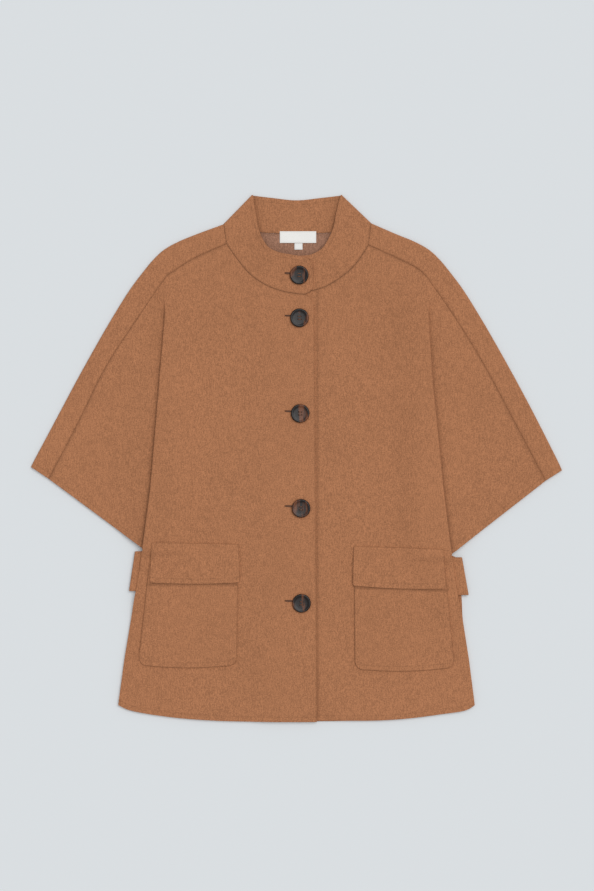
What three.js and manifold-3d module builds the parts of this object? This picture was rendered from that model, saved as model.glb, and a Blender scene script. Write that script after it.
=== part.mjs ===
// A cape-style wool coat laid flat, front up. Millimetres, +Z up, the cloth rests on z = 0.
import * as THREE from "three";
import { mergeGeometries, mergeVertices } from "three/addons/utils/BufferGeometryUtils.js";
import Module from "manifold-3d";

// ---- driving dimensions -------------------------------------------------------------------
const CLOTH = 1.8; // thickness of the double-faced wool
const PITCH = 2.2; // from one layer's middle to the next
const SEAM_GAP = 0.7; // between two pieces that meet edge to edge
const BEND = PITCH / 2; // radius of a fold, at the middle of the cloth
const BACK_Z = CLOTH / 2; // middle of the back
const FRONT_Z = BACK_Z + PITCH; // middle of a front that lies on the back
const EDGE_INSET = BEND + CLOTH / 2; // a folded edge stands this far outside its fold line

const FOLD_ROWS = 14; // shoulder point to underarm
const FOLD_DEPTH = 28; // how far the fold runs in under the body at the underarm
const FOLD_FIRST = 5; // and where it first closes, below the shoulder
const FOLD_LEAD = 30; // the sleeve's first row along the forward seam
const SLEEVE_FALL = 62; // outside the fold the sleeve comes down to the back over this
const BODY_FALL = 52; // and inside it the body over this
const FALLEN = [0.12, 0.27, 0.45, 0.7, 1]; // columns of the sleeve, share of the way out

const LAP_UNDER = -18; // edge of the lower front, under the placket
const LAP_RISE_FROM = -78; // the upper front climbs onto the lower one
const LAP_RISE_TO = -40;

const COLLAR_RISE = 3.6; // top edge of the collar's front limb, above its seam
const POCKET_GAP = 0.85; // pockets and flaps lie a little loose on the front
const BUTTON_R = 14;
const BUTTON_T = 4;

// Side of the body, shoulder point down to the hem corner; the fold edge down to the underarm.
const SIDE = {
  left: [
    { y: 273, x: 193.5 },
    { y: 202, x: 198 },
    { y: 120, x: 205 },
    { y: 34, x: 212 },
    { y: -50, x: 219.5 },
    { y: -137, x: 231 },
    { y: -178, x: 236 },
    { y: -212, x: 243 },
    { y: -243, x: 248 },
    { y: -300, x: 257.5 },
    { y: -366, x: 266.5 },
  ],
  right: [
    { y: 270, x: 195 },
    { y: 202, x: 198 },
    { y: 110, x: 204 },
    { y: 34, x: 212 },
    { y: -43, x: 219.5 },
    { y: -113, x: 228 },
    { y: -146, x: 232.5 },
    { y: -178, x: 236.5 },
    { y: -212, x: 242.5 },
    { y: -243, x: 249 },
    { y: -300, x: 258 },
    { y: -366, x: 266.5 },
  ],
};
const UNDERARM_Y = { left: -137, right: -146 };
const LOWER_ROWS = [-13, -36, -66, -92, -118, -170]; // rows below the underarm, from its height
const HEM_CORNER = { left: [267, -371], right: [267, -371] };

// Forward seam between each front and the back's turned-over edge, from the neck outwards.
const SHOULDER_SEAM = {
  left: [[105, 320], [154, 298], [193.5, 273]],
  right: [[108, 318], [152, 298], [184, 281], [195, 270]],
};
const SLEEVE_SEAM = {
  left: [[193.5, 273], [230, 220], [286, 134.5], [327, 52], [371, -32]],
  right: [[195, 270], [238, 208], [281, 138], [327, 52], [373, -35]],
};
// Outline of shoulder and overarm, where the back turns over.
const OVERARM = {
  left: [
    [109.5, 349.5], [149, 335], [178, 323], [199, 311], [215, 296], [233, 274], [250, 251],
    [278, 206], [304, 161], [329, 116], [353, 71], [377, 26], [398, -14],
  ],
  right: [
    [112, 351], [149, 335], [178, 323], [199, 311], [215, 296], [233, 274], [250, 251],
    [278, 206], [304, 161], [329, 116], [353, 71], [377, 24], [398, -19],
  ],
};
// Neckline of each front from the forward seam to the centre, and its centre front edge.
const NECKLINE = {
  left: [[-105, 320], [-88, 296], [-70, 275], [-49, 260], [-25, 250], [-6, 246], [11, 244]],
  right: [[108, 318], [88, 289], [68, 271], [43, 256], [24, 250], [3, 248], [-18, 249]],
};
const HEM = {
  left: [[-267, -371], [-252, -378], [-197, -388], [-127, -394], [-40, -396], [30.5, -396]],
  right: [[267, -371], [256, -378], [214, -385], [167, -391], [121, -394], [31, -394], [-18, -394]],
};
const BACK_NECK = [[-109, 347.6], [-80, 340], [-53, 337], [0, 335], [53, 337], [80, 340], [111.6, 349]];

// Collar: top edge of its front limb, from the side fold to the centre; top edge of its back limb.
const COLLAR_INNER = {
  left: [[-65, 392.5], [-61, 364], [-55, 337], [-43, 316], [-29, 308], [-10, 304], [5, 301.5]],
  right: [[66, 392.5], [59, 364], [55, 344], [47, 326], [38, 313], [22, 304], [3, 302], [-18, 303]],
};
const COLLAR_BACK = [[-65, 392.5], [-36, 389], [0, 385.5], [36, 389], [68, 392.5]];
const COLLAR_END = [
  { low: [19.5, 247.5], top: [15.5, 298.5] },
  { low: [25, 258.5], top: [24, 287] },
];

const POCKETS = {
  left: { topLeft: [-220, -160], topRight: [-87.5, -160], foot: [-236, -312], footRight: [-89.5, -312], bow: 3 },
  right: { topLeft: [86.5, -165], topRight: [222, -165], foot: [87.5, -318], footRight: [235.5, -316], bow: 3 },
};
const FLAPS = {
  left: { topLeft: [-216, -127], topRight: [-87, -130], foot: [-219, -187], footRight: [-85.5, -187], bow: 2 },
  right: { topLeft: [86, -133], topRight: [219, -137], foot: [84.5, -192], footRight: [223, -196], bow: 2 },
};
const STRAPS = {
  left: { top: -140.5, bottom: -200, edgeTop: 242, edgeBottom: 251, inner: 224 },
  right: { top: -149.5, bottom: -206, edgeTop: 248, edgeBottom: 258, inner: 226 },
};
const LABEL = { x0: -25, x1: 29.5, y0: 321.5, y1: 339, t: 0.7 };
const TAB = { x0: -3, x1: 9, y0: 311.5, y1: 321.1, t: 0.7 };
const BUTTONS = [
  { x: 4, y: 273 },
  { x: 4.5, y: 209 },
  { x: 5.5, y: 66 },
  { x: 6.75, y: -76 },
  { x: 7.5, y: -218 },
];

// ---- small helpers ------------------------------------------------------------------------
const at = (x, y, z = 0) => new THREE.Vector3(x, y, z);
const signOf = (side) => (side === "left" ? -1 : 1);
const smooth = (x, from, to) => THREE.MathUtils.smoothstep(x, Math.min(from, to), Math.max(from, to));

function curve(points, sign = 1) {
  return new THREE.CatmullRomCurve3(points.map(([x, y]) => at(sign * x, y)), false, "centripetal");
}

function sample(line, count, from = 0, to = 1) {
  return Array.from({ length: count + 1 }, (_, i) => line.getPointAt(from + ((to - from) * i) / count));
}

// Half width of the body at a height, on one side.
function sideX(side, y) {
  const rows = SIDE[side];
  const i = Math.max(1, rows.findIndex((row) => row.y <= y));
  const [a, b] = y <= rows.at(-1).y ? rows.slice(-2) : [rows[i - 1], rows[i]];
  return a.x + ((b.x - a.x) * (y - a.y)) / (b.y - a.y);
}

// Share of the way along a row of points.
function shares(points) {
  const run = [0];
  for (let i = 1; i < points.length; i++) run.push(run[i - 1] + points[i].distanceTo(points[i - 1]));
  return run.map((r) => r / run.at(-1));
}

// Rows of points that fill four edges; top and bottom run across, left and right run down.
function filled(top, bottom, left, right) {
  const us = shares(top);
  const vs = shares(left);
  return vs.map((v, j) =>
    us.map((u, i) => {
      const p = top[i].clone().multiplyScalar(1 - v).addScaledVector(bottom[i], v);
      p.addScaledVector(left[j], 1 - u).addScaledVector(right[j], u);
      p.addScaledVector(top[0], -(1 - u) * (1 - v)).addScaledVector(top.at(-1), -u * (1 - v));
      return p.addScaledVector(bottom[0], -(1 - u) * v).addScaledVector(bottom.at(-1), -u * v);
    }),
  );
}

// One sheet from rows of points, facing up when the rows run down and the points run to +X.
function sheet(rows, turned = false) {
  const columns = rows[0].length;
  const geometry = new THREE.BufferGeometry().setFromPoints(rows.flat());
  const index = [];
  for (let j = 0; j + 1 < rows.length; j++) {
    for (let i = 0; i + 1 < columns; i++) {
      const [a, b] = [j * columns + i, j * columns + i + 1];
      const [c, d] = [a + columns, b + columns];
      if (turned) index.push(a, b, c, b, d, c);
      else index.push(a, c, b, b, c, d);
    }
  }
  return geometry.setIndex(index);
}

// Gives joined sheets their thickness, half to each side.
function thicken(sheets, thickness = CLOTH) {
  const middle = mergeVertices(mergeGeometries(sheets), 1e-3);
  middle.computeVertexNormals();
  const { position, normal } = middle.attributes;
  const count = position.count;
  const points = [1, -1].flatMap((way) =>
    Array.from({ length: count }, (_, i) =>
      at(position.getX(i), position.getY(i), position.getZ(i)).add(
        at(normal.getX(i), normal.getY(i), normal.getZ(i)).multiplyScalar((way * thickness) / 2),
      ),
    ),
  );
  const faces = [];
  const edges = new Map();
  for (let i = 0; i < middle.index.count; i += 3) {
    const [a, b, c] = [0, 1, 2].map((k) => middle.index.getX(i + k));
    if (a === b || b === c || c === a) continue;
    faces.push(a, b, c, a + count, c + count, b + count);
    for (const [p, q] of [[a, b], [b, c], [c, a]]) edges.set(`${p} ${q}`, [p, q]);
  }
  for (const [p, q] of edges.values()) {
    if (edges.has(`${q} ${p}`)) continue;
    faces.push(p, p + count, q, q, p + count, q + count);
  }
  return new THREE.BufferGeometry().setFromPoints(points).setIndex(faces);
}

// ---- heights of the layers ----------------------------------------------------------------
// How far the fold has closed: 0 at the shoulder point, 1 two rows further down.
const closed = (row) => Math.min(1, row / 2);
const startRoom = (row) => (row === 1 ? 0.5 : 0); // the front's fold lies looser where it starts
const foldDepth = (row) => FOLD_FIRST + (FOLD_DEPTH - FOLD_FIRST) * (row / FOLD_ROWS);

// Height of the front body above its plain level, from the layers tucked under its edge.
function bodyLift(side, y) {
  const top = SIDE[side][0].y;
  const under = UNDERARM_Y[side];
  const row = ((top - y) / (top - under)) * FOLD_ROWS;
  if (y >= under) return 4 * PITCH * Math.max(0, closed(row));
  const below = under - y;
  if (below < 13) return PITCH * (4 - (2 * below) / 13);
  return 2 * PITCH * (1 - smooth(below, 66, 112));
}

function frontZ(side, x, y) {
  const top = SIDE[side][0].y;
  const under = UNDERARM_Y[side];
  const inwards = sideX(side, y) - Math.abs(x);
  const row = THREE.MathUtils.clamp(((top - y) / (top - under)) * FOLD_ROWS, 0, FOLD_ROWS);
  const flat = y > under ? foldDepth(row) + 6 : THREE.MathUtils.lerp(34, 16, smooth(under - y, 0, 30));
  const lift = bodyLift(side, y) * (1 - smooth(inwards, flat, flat + BODY_FALL));
  const lap = side === "left" ? PITCH * smooth(x, LAP_RISE_FROM, LAP_RISE_TO) : 0;
  return FRONT_Z + lift + lap;
}

// ---- edges shared by neighbouring pieces --------------------------------------------------
function makeSide(side) {
  const sign = signOf(side);
  const under = UNDERARM_Y[side];
  const top = SIDE[side][0].y;
  const sleeveSeam = curve(SLEEVE_SEAM[side], sign);
  const lead = FOLD_LEAD / sleeveSeam.getLength();
  const shoulder = sample(curve(SHOULDER_SEAM[side], sign), 5);
  const foldLine = Array.from({ length: FOLD_ROWS + 1 }, (_, j) => {
    const y = top + ((under - top) * j) / FOLD_ROWS;
    return at(sign * (sideX(side, y) - EDGE_INSET * closed(j)), y);
  });
  foldLine[0].copy(shoulder.at(-1));
  const lower = LOWER_ROWS.map((dy) => at(sign * sideX(side, under + dy), under + dy));
  const corner = at(sign * HEM_CORNER[side][0], HEM_CORNER[side][1]);
  const edge = [...foldLine, ...lower, corner];
  const cuffEnd = Array.from({ length: FOLD_ROWS + 1 }, (_, j) =>
    sleeveSeam.getPointAt(lead + ((1 - lead) * j) / FOLD_ROWS),
  );
  return { side, sign, sleeveSeam, lead, shoulder, foldLine, lower, corner, edge, cuffEnd };
}
const SIDES = { left: makeSide("left"), right: makeSide("right") };

// Sleeve of a front or of the back: from the fold line in under the body, back out, to the overarm.
// `steps` counts the half pitches down (front) or up (back) through the fold.
function sleeveRows(s, base, way) {
  const steps = [0, 1, 2, 2, 3, 4, 4];
  const rooms = way < 0 ? 4 * PITCH : 0;
  return s.foldLine.map((p, j) => {
    const q = s.cuffEnd[j];
    const k = closed(j);
    const reach = p.distanceTo(q);
    const depth = foldDepth(j);
    const folded = [0, BEND, 0, -depth, -depth - BEND, -depth, 0];
    const row = steps.map((step, i) => {
      const z = base + k * (rooms + way * BEND * step) + (way < 0 ? startRoom(j) : 0);
      if (j === 0) return s.sleeveSeam.getPointAt((s.lead * i) / 11).setZ(base);
      if (j === 1) return p.clone().lerp(q, (2.5 * i) / reach).setZ(z);
      return at(p.x + s.sign * folded[i], p.y, z);
    });
    const start = row.at(-1).clone().setZ(0);
    FALLEN.forEach((f, i) => {
      if (j === 0) {
        row.push(s.sleeveSeam.getPointAt((s.lead * (7 + i)) / 11).setZ(base));
        return;
      }
      const out = start.clone().lerp(q, f);
      const away = p.distanceTo(out) / Math.min(SLEEVE_FALL, 0.8 * reach);
      const room = way < 0 ? startRoom(j) * (1 - f) : 0;
      row.push(out.setZ(base + 2 * PITCH * k * (1 - smooth(away, 0.1, 1)) + room));
    });
    return row;
  });
}

// ---- fronts -------------------------------------------------------------------------------
function centreEdge(side, rows) {
  const ys = rows.map((p) => p.y);
  const [top, foot] = side === "left" ? [at(20, 238.5), at(30.5, -396)] : [at(LAP_UNDER, 249), at(LAP_UNDER, -394)];
  const share = (y) => (ys[0] - y) / (ys[0] - ys.at(-1));
  return ys.map((y) => {
    const v = share(y);
    const p = top.clone().lerp(foot, v);
    if (side === "left" && v > 0) p.x = 25.5 + 5 * v;
    return p;
  });
}

const neckPoints = {
  left: [...sample(curve(NECKLINE.left), 6), at(20, 238.5)],
  right: sample(curve(NECKLINE.right), 7),
};

function front(side) {
  const s = SIDES[side];
  const top = [...s.shoulder.slice().reverse(), ...neckPoints[side].slice(1)];
  const hem = curve(HEM[side]);
  const bottom = shares(top).map((u) => hem.getPointAt(u));
  const right = centreEdge(side, s.edge);
  const rows = filled(top, bottom, s.edge, right);
  rows.forEach((row) => row.forEach((p) => p.setZ(frontZ(side, p.x, p.y))));
  rows.forEach((row, j) => {
    if (j <= FOLD_ROWS) row[0].setZ(FRONT_Z + 4 * PITCH * closed(j) + startRoom(j));
  });
  rows[0].forEach((p) => p.setZ(FRONT_Z + (side === "left" ? PITCH * smooth(p.x, LAP_RISE_FROM, LAP_RISE_TO) : 0)));
  const sleeve = sleeveRows(s, FRONT_Z, -1);
  return thicken([sheet(rows, side === "right"), sheet(sleeve, side === "left")]);
}

// ---- back ---------------------------------------------------------------------------------
// The strip outside the forward seam: across to the outline, round it, and back to the seam on top.
function turnOver(s) {
  const lead = Array.from({ length: 11 }, (_, i) => s.sleeveSeam.getPointAt((s.lead * (i + 1)) / 11));
  const seam = [...s.shoulder, ...lead, ...s.cuffEnd.slice(1)];
  const outline = curve(OVERARM[s.side], s.sign);
  return shares(seam).map((u, j) => {
    const q = seam[j];
    const o = outline.getPointAt(u);
    const out = o.clone().sub(q).normalize();
    const flat = q.distanceTo(o) - EDGE_INSET;
    const place = (away, z) => q.clone().addScaledVector(out, away).setZ(z);
    return [
      place(0, BACK_Z),
      place(flat / 2, BACK_Z),
      place(flat, BACK_Z),
      place(flat + BEND, BACK_Z + BEND),
      place(flat, FRONT_Z),
      place(SEAM_GAP, FRONT_Z),
    ];
  });
}
const strips = { left: turnOver(SIDES.left), right: turnOver(SIDES.right) };
const backNeck = sample(curve([
  [strips.left[0][2].x, strips.left[0][2].y],
  ...BACK_NECK.slice(1, -1),
  [strips.right[0][2].x, strips.right[0][2].y],
]), 8);

function back() {
  const { left, right } = SIDES;
  const ends = { left: strips.left[0].slice(0, 3), right: strips.right[0].slice(0, 3) };
  const top = [
    ...left.shoulder.slice(1).reverse(),
    ...ends.left,
    ...backNeck.slice(1, -1),
    ...ends.right.slice().reverse(),
    ...right.shoulder.slice(1),
  ].map((p) => p.clone());
  const hem = curve([...HEM.left.slice(0, 5), ...HEM.right.slice(0, 5).reverse()]);
  const bottom = shares(top).map((u) => hem.getPointAt(u).add(at(0, 0.4)));
  bottom[0].copy(left.corner);
  bottom.at(-1).copy(right.corner);
  const shown = right.edge.map((p) => p.clone());
  for (const p of shown.slice(FOLD_ROWS + 1)) p.x += 6 * (smooth(p.y, -250, -200) - smooth(p.y, -150, -100));
  const rows = filled(top, bottom, left.edge, shown);
  rows.forEach((row) => row.forEach((p) => p.setZ(BACK_Z)));
  const parts = [sheet(rows)];
  for (const s of [left, right]) {
    parts.push(sheet(sleeveRows(s, BACK_Z, 1), s.side === "left"));
    parts.push(sheet(strips[s.side], s.side === "left"));
  }
  return thicken(parts);
}

// ---- collar -------------------------------------------------------------------------------
// One band: from its upper end round the left fold, along the back, round the right fold, to its lower end.
function collar() {
  const sections = [];
  const add = (low, top, z, rise) => sections.push({ low, top, z, rise });
  const lapAt = (x) => PITCH * smooth(x, LAP_RISE_FROM, LAP_RISE_TO);
  for (const end of COLLAR_END.slice().reverse()) add(at(...end.low), at(...end.top), FRONT_Z + PITCH, COLLAR_RISE);
  const limb = (side, necks) => {
    const strip = strips[side][0];
    const lows = [...necks, strip[1], strip[2]].map((p) => p.clone());
    const inner = curve(COLLAR_INNER[side].slice().reverse());
    const us = shares(lows);
    return lows.map((low, i) => {
      const top = inner.getPointAt(us[i]);
      const near = smooth(us[i], 1, 0.35);
      return { low, top, z: FRONT_Z + (side === "left" ? lapAt(low.x) : 0), rise: COLLAR_RISE * (1 - near) };
    });
  };
  const leftLimb = limb("left", neckPoints.left.slice(0, -1).reverse());
  sections.push(...leftLimb);
  const fold = (side, top) => {
    const strip = strips[side][0];
    add(strip[3].clone(), at(top.x + signOf(side) * BEND * 0.7, top.y + BEND * 0.7), BACK_Z + BEND, 0);
  };
  fold("left", leftLimb.at(-1).top);
  const backTop = curve(COLLAR_BACK);
  const us = shares(backNeck);
  backNeck.forEach((low, i) => add(low.clone(), backTop.getPointAt(us[i]), BACK_Z, 0));
  const rightLimb = limb("right", neckPoints.right.slice().reverse()).reverse();
  sections[sections.length - 1].top.copy(rightLimb[0].top);
  fold("right", rightLimb[0].top);
  sections.push(...rightLimb);
  const rows = sections.map(({ low, top, z, rise }) => {
    const start = low.clone().setZ(0);
    const end = top.clone().setZ(0);
    start.addScaledVector(end.clone().sub(start).normalize(), SEAM_GAP);
    return [0, 0.3, 0.55, 0.8, 1].map((v) => start.clone().lerp(end, v).setZ(z + rise * v * v));
  });
  return thicken([sheet(rows, true)]);
}

// ---- pockets, flaps -----------------------------------------------------------------------
function patch(side, shape, above, round) {
  const corner = (p) => at(p[0], p[1]);
  const [a, b, c, d] = [shape.topLeft, shape.topRight, shape.foot, shape.footRight].map(corner);
  const cut = 0.3 * round;
  const down = (from, to, inwards) => {
    const stop = to.clone().lerp(from, round / from.distanceTo(to));
    const turn = at(to.x + inwards * cut, to.y + cut);
    return [0, 0.18, 0.4, 0.6, 0.8, 1].map((v) => from.clone().lerp(stop, v)).concat(turn);
  };
  const left = down(a, c, 1);
  const right = down(b, d, -1);
  const [from, to] = [left.at(-1), right.at(-1)];
  const across = [0, round / 150, 0.24, 0.42, 0.6, 0.78, 1 - round / 150, 1];
  const top = across.map((u) => a.clone().lerp(b, u));
  const bottom = across.map((u) => {
    const p = from.clone().lerp(to, u);
    if (u > 0 && u < 1) p.y -= cut + shape.bow * Math.sin(Math.PI * u);
    return p;
  });
  const rows = filled(top, bottom, left, right);
  rows.forEach((row) => row.forEach((p) => p.setZ(frontZ(side, p.x, p.y) + above(p.y))));
  return thicken([sheet(rows)]);
}

// ---- straps, label, buttons ---------------------------------------------------------------
function strap(side) {
  const { top, bottom, edgeTop, edgeBottom, inner } = STRAPS[side];
  const sign = signOf(side);
  const rows = [0, 0.5, 1].map((v) => {
    const y = top + (bottom - top) * v;
    const edge = edgeTop + (edgeBottom - edgeTop) * v - EDGE_INSET;
    const turn = [
      { x: inner, z: FRONT_Z },
      { x: edge, z: FRONT_Z },
      { x: edge + BEND, z: FRONT_Z + BEND },
      { x: edge, z: FRONT_Z + PITCH },
      { x: inner, z: FRONT_Z + PITCH },
    ];
    return turn.map(({ x, z }) => at(sign * x, y, z));
  });
  return thicken([sheet(rows, side === "left")]);
}

function block({ x0, x1, y0, y1, t }) {
  const z = CLOTH + 0.3;
  return new THREE.BoxGeometry(x1 - x0, y1 - y0, t).translate((x0 + x1) / 2, (y0 + y1) / 2, z + t / 2);
}

const wasm = await Module();
wasm.setup();
const solid = (geometry) => {
  const whole = mergeVertices(geometry.clone().deleteAttribute("normal").deleteAttribute("uv"), 1e-4);
  return new wasm.Manifold(
    new wasm.Mesh({
      numProp: 3,
      vertProperties: whole.attributes.position.array,
      triVerts: new Uint32Array(whole.index.array),
    }),
  );
};

// A disc with a raised rim, a shallow dish and four sewing holes.
function button() {
  const profile = [
    [0, 0], [BUTTON_R - 2, 0], [BUTTON_R, 1.4], [BUTTON_R, 2.6], [BUTTON_R - 1, BUTTON_T],
    [BUTTON_R - 2.6, BUTTON_T], [BUTTON_R - 4.6, BUTTON_T - 1], [0, BUTTON_T - 1.2],
  ].map(([r, z]) => new THREE.Vector2(r, z));
  let disc = solid(new THREE.LatheGeometry(profile, 40).rotateX(Math.PI / 2));
  for (const [x, y] of [[1, 1], [-1, 1], [-1, -1], [1, -1]]) {
    const hole = new THREE.CylinderGeometry(1.1, 1.1, 20, 12).rotateX(Math.PI / 2);
    disc = disc.subtract(solid(hole.translate(2.2 * x, 2.2 * y, 0)));
  }
  const mesh = disc.getMesh();
  const geometry = new THREE.BufferGeometry();
  geometry.setAttribute("position", new THREE.Float32BufferAttribute(mesh.vertProperties, 3));
  return geometry.setIndex([...mesh.triVerts]);
}

// ---- the object ---------------------------------------------------------------------------
const WOOL = { color: 0xa6704f, roughness: 0.95, metalness: 0 };
const LABEL_CLOTH = { color: 0xe6e4e1, roughness: 0.8, metalness: 0 };
const HORN = { color: 0x2c2423, roughness: 0.3, metalness: 0 };

const coat = new THREE.Group();
function piece(name, geometry, look) {
  const mesh = new THREE.Mesh(geometry, new THREE.MeshStandardMaterial(look));
  mesh.name = name;
  coat.add(mesh);
  return mesh;
}

const lying = CLOTH + POCKET_GAP;
piece("back", back(), WOOL);
piece("front_right", front("left"), WOOL);
piece("front_left", front("right"), WOOL);
piece("collar", collar(), WOOL);
piece("pocket_right", patch("left", POCKETS.left, () => lying, 14), WOOL);
piece("pocket_left", patch("right", POCKETS.right, () => lying, 14), WOOL);
const overBag = (top) => (y) => lying * (1 + smooth(top - y, 2, 26));
piece("flap_right", patch("left", FLAPS.left, overBag(-127), 4), WOOL);
piece("flap_left", patch("right", FLAPS.right, overBag(-133), 4), WOOL);
piece("strap_right", strap("left"), WOOL);
piece("strap_left", strap("right"), WOOL);
piece("neck_label", block(LABEL), LABEL_CLOTH);
piece("size_tab", block(TAB), LABEL_CLOTH);
BUTTONS.forEach(({ x, y }, i) => {
  const mesh = piece(`button_${i + 1}`, button(), HORN);
  const onCollar = i === 0;
  mesh.position.set(x, y, FRONT_Z + PITCH + CLOTH / 2 + (onCollar ? 1.7 : 0.3));
  if (onCollar) mesh.rotation.x = COLLAR_RISE / 57;
});

export default coat;
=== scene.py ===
"""A cape-style wool coat laid flat, front up, seen from straight above. Lengths are in
millimetres in the tables and in metres in the meshes."""
import math

import bmesh
import bpy
import numpy as np
from mathutils import Matrix, Vector, kdtree


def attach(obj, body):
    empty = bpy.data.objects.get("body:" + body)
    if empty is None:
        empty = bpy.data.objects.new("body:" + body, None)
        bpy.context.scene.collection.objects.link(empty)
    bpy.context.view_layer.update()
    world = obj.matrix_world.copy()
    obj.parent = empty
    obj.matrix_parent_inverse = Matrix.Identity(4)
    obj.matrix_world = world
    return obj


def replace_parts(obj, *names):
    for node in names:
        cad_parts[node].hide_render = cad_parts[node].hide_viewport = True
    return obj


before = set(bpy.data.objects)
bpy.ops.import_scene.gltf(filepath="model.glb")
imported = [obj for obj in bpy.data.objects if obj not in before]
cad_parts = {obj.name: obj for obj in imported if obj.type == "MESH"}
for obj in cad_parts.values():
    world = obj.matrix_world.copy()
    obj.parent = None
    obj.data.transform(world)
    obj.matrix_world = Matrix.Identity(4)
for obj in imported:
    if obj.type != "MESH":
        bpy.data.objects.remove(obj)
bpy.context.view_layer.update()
MM = 0.001

# ---- sizes in mm ----------------------------------------------------------------------
# The gaps at seams and pockets, and the pressed cloth, are tighter than the solids'.
CLOTH = 1.8
PRESSED = 1.6  # pockets and flaps are pressed a little thinner
PITCH = 2.2  # from one layer's middle to the next
SEAM_GAP = 0.4
BEND = PITCH / 2
BACK_Z = CLOTH / 2
FRONT_Z = BACK_Z + PITCH
EDGE_INSET = BEND + CLOTH / 2
FOLD_ROWS = 14  # shoulder point to underarm
FOLD_DEPTH = 28  # how far the fold runs in under the body at the underarm
FOLD_FIRST = 5  # and at the shoulder
FOLD_LEAD = 30  # the sleeve's first row along the forward seam
SLEEVE_FALL = 62  # outside the fold the sleeve comes down over this
BODY_FALL = 52  # and inside it the body over this
LAP_UNDER = -18  # edge of the lower front, under the placket
LAP_FROM, LAP_TO = -78, -40  # the upper front climbs onto the lower one
COLLAR_RISE = 3.6  # top edge of the collar's front limb, above its seam
COLLAR_BULGE = 0.5
POCKET_GAP = 0.3
LYING = (CLOTH + PRESSED) / 2 + POCKET_GAP  # a pocket's middle above the front's
PATCH_CROWN = 0.6  # pockets and flaps rise this much in the middle
POCKET_CORNER, POCKET_BOW = 14, 3
FLAP_CORNER, FLAP_BOW = 4, 2
# Painted shade: the next numbers darken the cloth's colour where shade falls, in seam grooves, along
# turned edges and the rims of pockets and flaps, with painted shadow below the flaps, beside the
# placket's edge and beside the sleeve folds.
SEAM_PAINTED_SHADE = 0.42  # how dark a seam's groove is
EDGE_PAINTED_SHADE = 0.4  # and a turned edge
PATCH_PAINTED_SHADE = 0.5  # and the edges of pockets and flaps
UNDER_FLAP_PAINTED_SHADOW = 0.6  # and the pocket just below the flap
PLACKET_PAINTED_SHADOW = 0.42  # and the lower front beside the placket's edge
FOLD_SHADE = {"left": 1.0, "right": 0.8}  # and the sleeves beside their folds
SEAM_ROLL = 0.7  # a panel rolls down this far into the forward seam
STITCH_IN = 7  # the pressed line runs this far inside a turned edge

SIDE = {
    "left": [(273, 193.5), (202, 198), (120, 205), (34, 212), (-50, 219.5), (-137, 231),
             (-178, 236), (-212, 243), (-243, 248), (-300, 257.5), (-366, 266.5)],
    "right": [(270, 195), (202, 198), (110, 204), (34, 212), (-43, 219.5), (-113, 228),
              (-146, 232.5), (-178, 236.5), (-212, 242.5), (-243, 249), (-300, 258),
              (-366, 266.5)],
}
UNDERARM = {"left": -137, "right": -146}
HEM_CORNER = (267, -371)
SHOULDER_SEAM = {
    "left": [(105, 320), (154, 298), (193.5, 273)],
    "right": [(108, 318), (152, 298), (184, 281), (195, 270)],
}
SLEEVE_SEAM = {
    "left": [(193.5, 273), (230, 220), (286, 134.5), (327, 52), (371, -32)],
    "right": [(195, 270), (238, 208), (281, 138), (327, 52), (373, -35)],
}
OVERARM_TIP = {
    "left": [(377, 26), (394, -6), (398, -14)],
    "right": [(377, 24), (394, -10), (398, -19)],
}
OVERARM = [(149, 335), (178, 323), (199, 311), (215, 296), (233, 274), (250, 251), (278, 206),
           (304, 161), (329, 116), (353, 71)]
NECK_POINT = {"left": (109.5, 349.5), "right": (112, 351)}
NECKLINE = {
    "left": [(-105, 320), (-88, 296), (-70, 275), (-49, 260), (-25, 250), (-6, 246), (11, 244),
             (16.5, 242.2), (20, 238.5)],
    "right": [(108, 318), (88, 289), (68, 271), (43, 256), (24, 250), (3, 248), (-18, 249)],
}
HEM = {
    "left": [(-267, -371), (-252, -378), (-197, -388), (-127, -394), (-40, -396), (30.5, -396)],
    "right": [(267, -371), (256, -378), (214, -385), (167, -391), (121, -394), (31, -394), (-18, -394)],
}
LAP_EDGE = {"left": (238.5, -396), "right": (249, -394)}  # centre front edge: y at neck and hem
LAP_ROUND = [(238.5, 20), (234, 23.6), (229, 25.3), (222, 26), (-396, 30.5)]  # upper front: y, x
COLLAR_END = [  # the collar's rounded end: points on its seam and on its top edge
    ((15.5, 245.4), (10.8, 300.2)),
    ((19.5, 247.7), (16, 298)),
    ((22.8, 251), (20.6, 294.6)),
    ((24.6, 254.8), (23.4, 290)),
    ((25.2, 259), (24.6, 284.5)),
]
BACK_NECK = [(-80, 340), (-53, 337), (0, 335), (53, 337), (80, 340)]
COLLAR_INNER = {
    "left": [(-65, 392.5), (-61, 364), (-55, 337), (-43, 316), (-29, 308), (-10, 304), (5, 301.5)],
    "right": [(66, 392.5), (59, 364), (55, 344), (47, 326), (38, 313), (22, 304), (3, 302), (-18, 303)],
}
COLLAR_BACK = [(-65, 392.5), (-36, 389), (0, 385.5), (36, 389), (66, 392.5)]
POCKETS = {  # corners: top left, top right, foot left, foot right
    "left": [(-220, -160), (-87.5, -160), (-236, -312), (-89.5, -312)],
    "right": [(86.5, -165), (222, -165), (87.5, -318), (235.5, -316)],
}
FLAPS = {
    "left": [(-216, -127), (-87, -130), (-219, -187), (-85.5, -187)],
    "right": [(86, -133), (219, -137), (84.5, -192), (223, -196)],
}
STRAPS = {  # top, bottom, outer edge at the top and at the bottom, inner end
    "left": (-140.5, -200, 242, 251, 224),
    "right": (-149.5, -206, 248, 258, 226),
}
LABEL = (-25, 29.5, 321.5, 339)
TAB = (-3, 9, 311.5, 321.1)
BUTTONS = [(4, 273), (4.5, 209), (5.5, 66), (6.75, -76), (7.5, -218)]
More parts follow.
